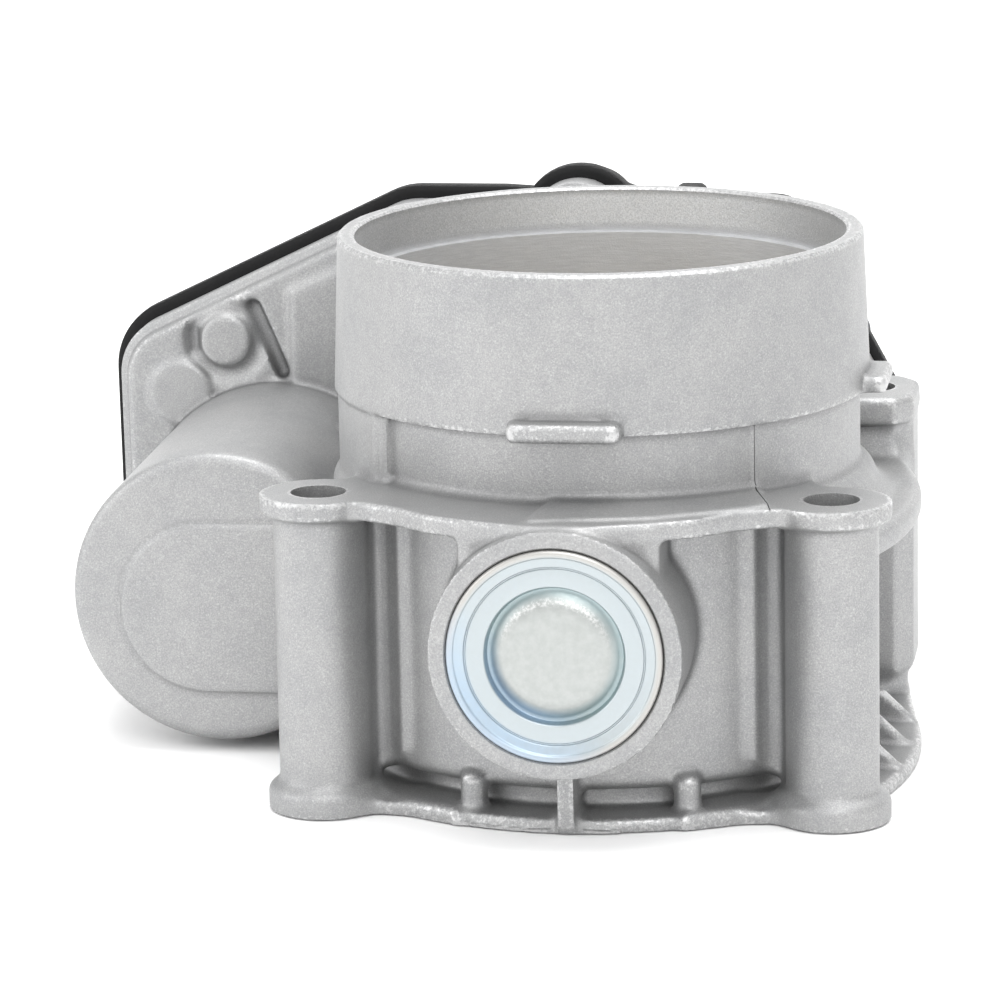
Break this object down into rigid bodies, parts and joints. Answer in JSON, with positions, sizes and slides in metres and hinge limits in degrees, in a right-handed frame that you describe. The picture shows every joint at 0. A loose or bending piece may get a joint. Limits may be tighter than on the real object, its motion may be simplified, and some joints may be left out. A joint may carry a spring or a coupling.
{
  "type": "throttle body",
  "caption": "Electronic throttle body: cast housing with hose spigot and bolt-on flange, butterfly plate, geared motor drive, plastic gear cover and socket.",
  "frame": {"origin": "on the air path axis, in the plane of the manifold flange face", "axes": "+Z along the air path from the flange to the hose spigot, +Y along the throttle shaft towards the gear cover, +X away from the motor barrel"},
  "size_m": [0.114, 0.1185, 0.0687],
  "materials": {
    "cast_aluminium": "sand-cast grain, blasted",
    "zinc_plate": "zinc plated, faint iridescence",
    "screw_zinc": "zinc plated",
    "bright_steel": "ground",
    "bearing_steel": "polished",
    "spring_steel": "drawn wire",
    "plate_brass": "brushed",
    "terminal_brass": "tinned",
    "copper": "wound copper on laminated steel",
    "black_plastic": "moulded, glass filled",
    "brown_plastic": "moulded",
    "gear_plastic": "moulded natural nylon",
    "seal_rubber": "moulded",
    "magnet": "sintered ferrite",
    "carbon": "pressed carbon",
    "circuit_board": "solder mask",
    "chip": "moulded epoxy"
  },
  "bodies": {
    "housing_assembly": {"housing": "cast_aluminium", "end_plug": "zinc_plate", "ball_bearing_outer_ring": "bearing_steel", "needle_bearing_cup": "bearing_steel", "shaft_seal_front": "seal_rubber", "shaft_seal_rear": "seal_rubber", "return_spring": "spring_steel", "intermediate_gear_pin": "bright_steel", "closed_stop_screw": "bright_steel", "motor_can": "zinc_plate", "motor_magnet_upper": "magnet", "motor_magnet_lower": "magnet", "motor_brush_upper": "carbon", "motor_brush_lower": "carbon", "motor_terminal_upper": "terminal_brass", "motor_terminal_lower": "terminal_brass", "motor_end_cap": "brown_plastic", "motor_mounting_plate": "zinc_plate", "motor_spring_washer": "spring_steel", "motor_screw_1": "screw_zinc", "motor_screw_2": "screw_zinc", "gear_cover": "black_plastic", "gear_cover_seal": "seal_rubber", "cover_screw_1": "screw_zinc", "cover_screw_2": "screw_zinc", "cover_screw_3": "screw_zinc", "cover_screw_4": "screw_zinc", "cover_screw_5": "screw_zinc", "cover_screw_6": "screw_zinc", "sensor_board": "circuit_board", "position_sensor_chip": "chip", "connector_pin_1": "terminal_brass", "connector_pin_2": "terminal_brass", "connector_pin_3": "terminal_brass", "connector_pin_4": "terminal_brass", "connector_pin_5": "terminal_brass", "connector_pin_6": "terminal_brass"},
    "ball_cage": {"ball_bearing_cage_and_balls": "bearing_steel"},
    "needle_cage": {"needle_bearing_cage_and_rollers": "bearing_steel"},
    "intermediate_gear": {"intermediate_gear": "gear_plastic"},
    "motor_rotor": {"motor_armature": "copper", "motor_commutator": "copper", "motor_shaft": "bright_steel", "motor_pinion": "terminal_brass"},
    "throttle_valve": {"throttle_shaft": "bright_steel", "throttle_plate": "plate_brass", "plate_screw_front": "bright_steel", "plate_screw_rear": "bright_steel", "ball_bearing_inner_ring": "bearing_steel", "shaft_retaining_clip": "spring_steel", "throttle_gear": "gear_plastic", "throttle_gear_insert": "bright_steel", "position_magnet": "magnet"}
  },
  "joints": [
    {"name": "throttle_turn", "type": "hinge", "parent": "housing_assembly", "child": "throttle_valve", "pos_m": [0, 0, 0.02443], "axis": [0, 1, 0], "range_deg": [-6, 76], "stiffness_Nm_per_rad": 0.25},
    {"name": "intermediate_turn", "type": "hinge", "parent": "housing_assembly", "child": "intermediate_gear", "pos_m": [-0.02745, 0, 0.02467], "axis": [0, 1, 0], "range_deg": [-235, 20]},
    {"name": "motor_turn", "type": "hinge", "parent": "housing_assembly", "child": "motor_rotor", "pos_m": [-0.0499, 0, 0.0207], "axis": [0, 1, 0], "range_deg": [-70, 876]},
    {"name": "ball_cage_turn", "type": "hinge", "parent": "housing_assembly", "child": "ball_cage", "pos_m": [0, 0, 0.02443], "axis": [0, 1, 0], "range_deg": [-4, 36]},
    {"name": "needle_cage_turn", "type": "hinge", "parent": "housing_assembly", "child": "needle_cage", "pos_m": [0, 0, 0.02443], "axis": [0, 1, 0], "range_deg": [-4, 36]}
  ],
  "couplings": [
    {"joint": "intermediate_turn", "follows": "throttle_turn", "ratio": -3.0667},
    {"joint": "motor_turn", "follows": "throttle_turn", "ratio": 11.5},
    {"joint": "ball_cage_turn", "follows": "throttle_turn", "ratio": 0.4007},
    {"joint": "needle_cage_turn", "follows": "throttle_turn", "ratio": 0.4514}
  ]
}
